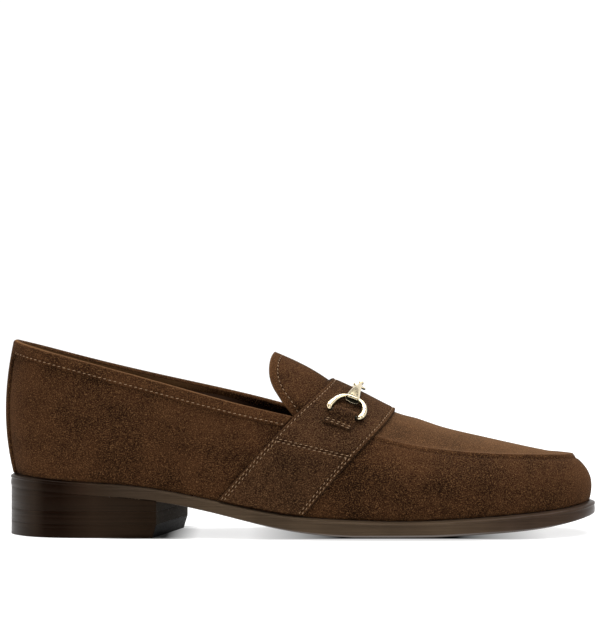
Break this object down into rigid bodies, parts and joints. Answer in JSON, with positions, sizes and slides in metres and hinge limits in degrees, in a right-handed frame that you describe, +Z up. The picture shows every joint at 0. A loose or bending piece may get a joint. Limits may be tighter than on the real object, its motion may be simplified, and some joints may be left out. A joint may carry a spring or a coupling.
{
  "type": "loafer",
  "caption": "Suede slip-on loafer for the right foot, with a saddle strap, a metal bit, a stacked heel and a leather sole.",
  "frame": {"origin": "on the floor, under the middle of the shoe's overall box", "axes": "+X from heel to toe, +Y from the lateral side to the medial side, +Z up"},
  "size_m": [0.2932, 0.1041, 0.0964],
  "materials": {
    "suede": "brown suede nap, matte",
    "sole_leather": "dark brown stained edge, burnished",
    "rubber": "dark brown, satin",
    "lining": "dark brown smooth lining",
    "gilt_metal": "polished pale gold"
  },
  "bodies": {
    "root": {"outsole": "sole_leather", "heel_lift_upper": "sole_leather", "heel_lift_lower": "sole_leather", "top_piece": "rubber", "insole": "lining", "upper": "suede", "tongue": "suede", "collar_band": "suede", "side_panel_lateral": "suede", "side_panel_medial": "suede", "bridge_strap": "suede", "bit_loop_lateral": "suede", "bit_loop_medial": "suede", "bit_lateral": "gilt_metal", "bit_medial": "gilt_metal"}
  },
  "joints": []
}
